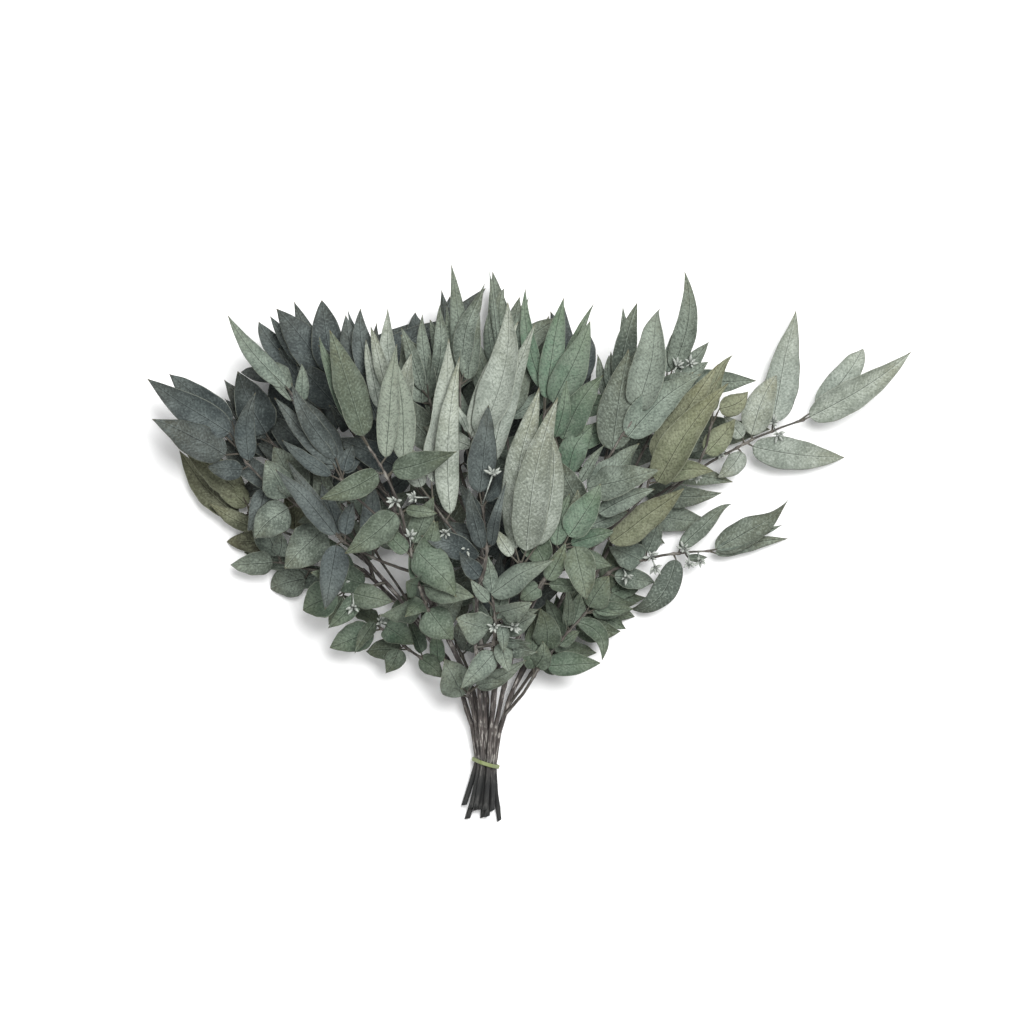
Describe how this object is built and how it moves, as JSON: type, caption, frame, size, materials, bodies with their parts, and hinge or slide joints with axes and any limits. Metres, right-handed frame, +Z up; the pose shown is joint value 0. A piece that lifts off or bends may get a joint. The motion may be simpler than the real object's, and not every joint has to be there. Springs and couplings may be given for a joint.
{
  "type": "dried eucalyptus bunch",
  "caption": "Bunch of dried willow-leaf eucalyptus, lying flat, its cut stems held by a rubber band.",
  "frame": {"origin": "middle of the bunch's box, on the surface that it lies on", "axes": "+Y from the cut stem ends to the leaf tips, +X to the right seen from above, +Z up"},
  "size_m": [0.5924, 0.4298, 0.1407],
  "materials": {
    "stem_bark": "dry dark grey-brown bark with silvery scuffs and leaf scars, nearly black below the band",
    "band_rubber": "yellow-green latex rubber band, satin",
    "leaf_slate": "matte dark blue-grey dried leaf with a powdery bloom and a darker midrib",
    "leaf_grey_green": "matte grey-green dried leaf with a powdery bloom",
    "leaf_pale": "matte pale sage dried leaf with fine speckles",
    "leaf_green": "matte cool green dried leaf with mealy mottling",
    "leaf_olive": "matte olive-brown dried leaf with dark speckles"
  },
  "bodies": {
    "root": {"rubber_band": "band_rubber", "spray_back_crown_left": "leaf_slate", "spray_back_crown_mid": "leaf_slate", "spray_back_crown_right": "leaf_grey_green", "spray_back_far_left": "leaf_slate", "spray_back_left": "leaf_grey_green", "spray_back_low_right": "leaf_green", "spray_back_middle": "leaf_grey_green", "spray_back_right": "leaf_grey_green", "spray_back_top_right": "leaf_slate", "spray_centre_front": "leaf_pale", "spray_centre_left": "leaf_pale", "spray_centre_right": "leaf_green", "spray_centre_stalk": "leaf_slate", "spray_centre_upper": "leaf_pale", "spray_crown_blue": "leaf_slate", "spray_crown_centre": "leaf_grey_green", "spray_crown_far_left": "leaf_slate", "spray_crown_far_right": "leaf_grey_green", "spray_crown_green": "leaf_green", "spray_crown_grey": "leaf_pale", "spray_crown_high": "leaf_grey_green", "spray_crown_left": "leaf_slate", "spray_crown_mid_left": "leaf_grey_green", "spray_crown_right": "leaf_grey_green", "spray_inner_centre": "leaf_slate", "spray_left_dark": "leaf_slate", "spray_left_edge": "leaf_olive", "spray_left_front": "leaf_slate", "spray_left_low": "leaf_grey_green", "spray_left_low_inner": "leaf_green", "spray_left_mid": "leaf_grey_green", "spray_left_outer": "leaf_slate", "spray_left_upper": "leaf_slate", "spray_left_wisp": "leaf_grey_green", "spray_low_centre": "leaf_grey_green", "spray_low_front": "leaf_grey_green", "spray_low_left": "leaf_green", "spray_low_right": "leaf_green", "spray_mid_left": "leaf_green", "spray_right_arm_lower": "leaf_grey_green", "spray_right_arm_upper": "leaf_pale", "spray_right_front": "leaf_grey_green", "spray_right_green": "leaf_green", "spray_right_olive": "leaf_olive", "spray_right_shade": "leaf_olive", "spray_right_upper": "leaf_grey_green", "spray_upper_left": "leaf_green", "stem_01": "stem_bark", "stem_02": "stem_bark", "stem_03": "stem_bark", "stem_04": "stem_bark", "stem_05": "stem_bark", "stem_06": "stem_bark", "stem_07": "stem_bark", "stem_08": "stem_bark", "stem_09": "stem_bark", "stem_10": "stem_bark", "stem_11": "stem_bark", "stem_12": "stem_bark"}
  },
  "joints": []
}
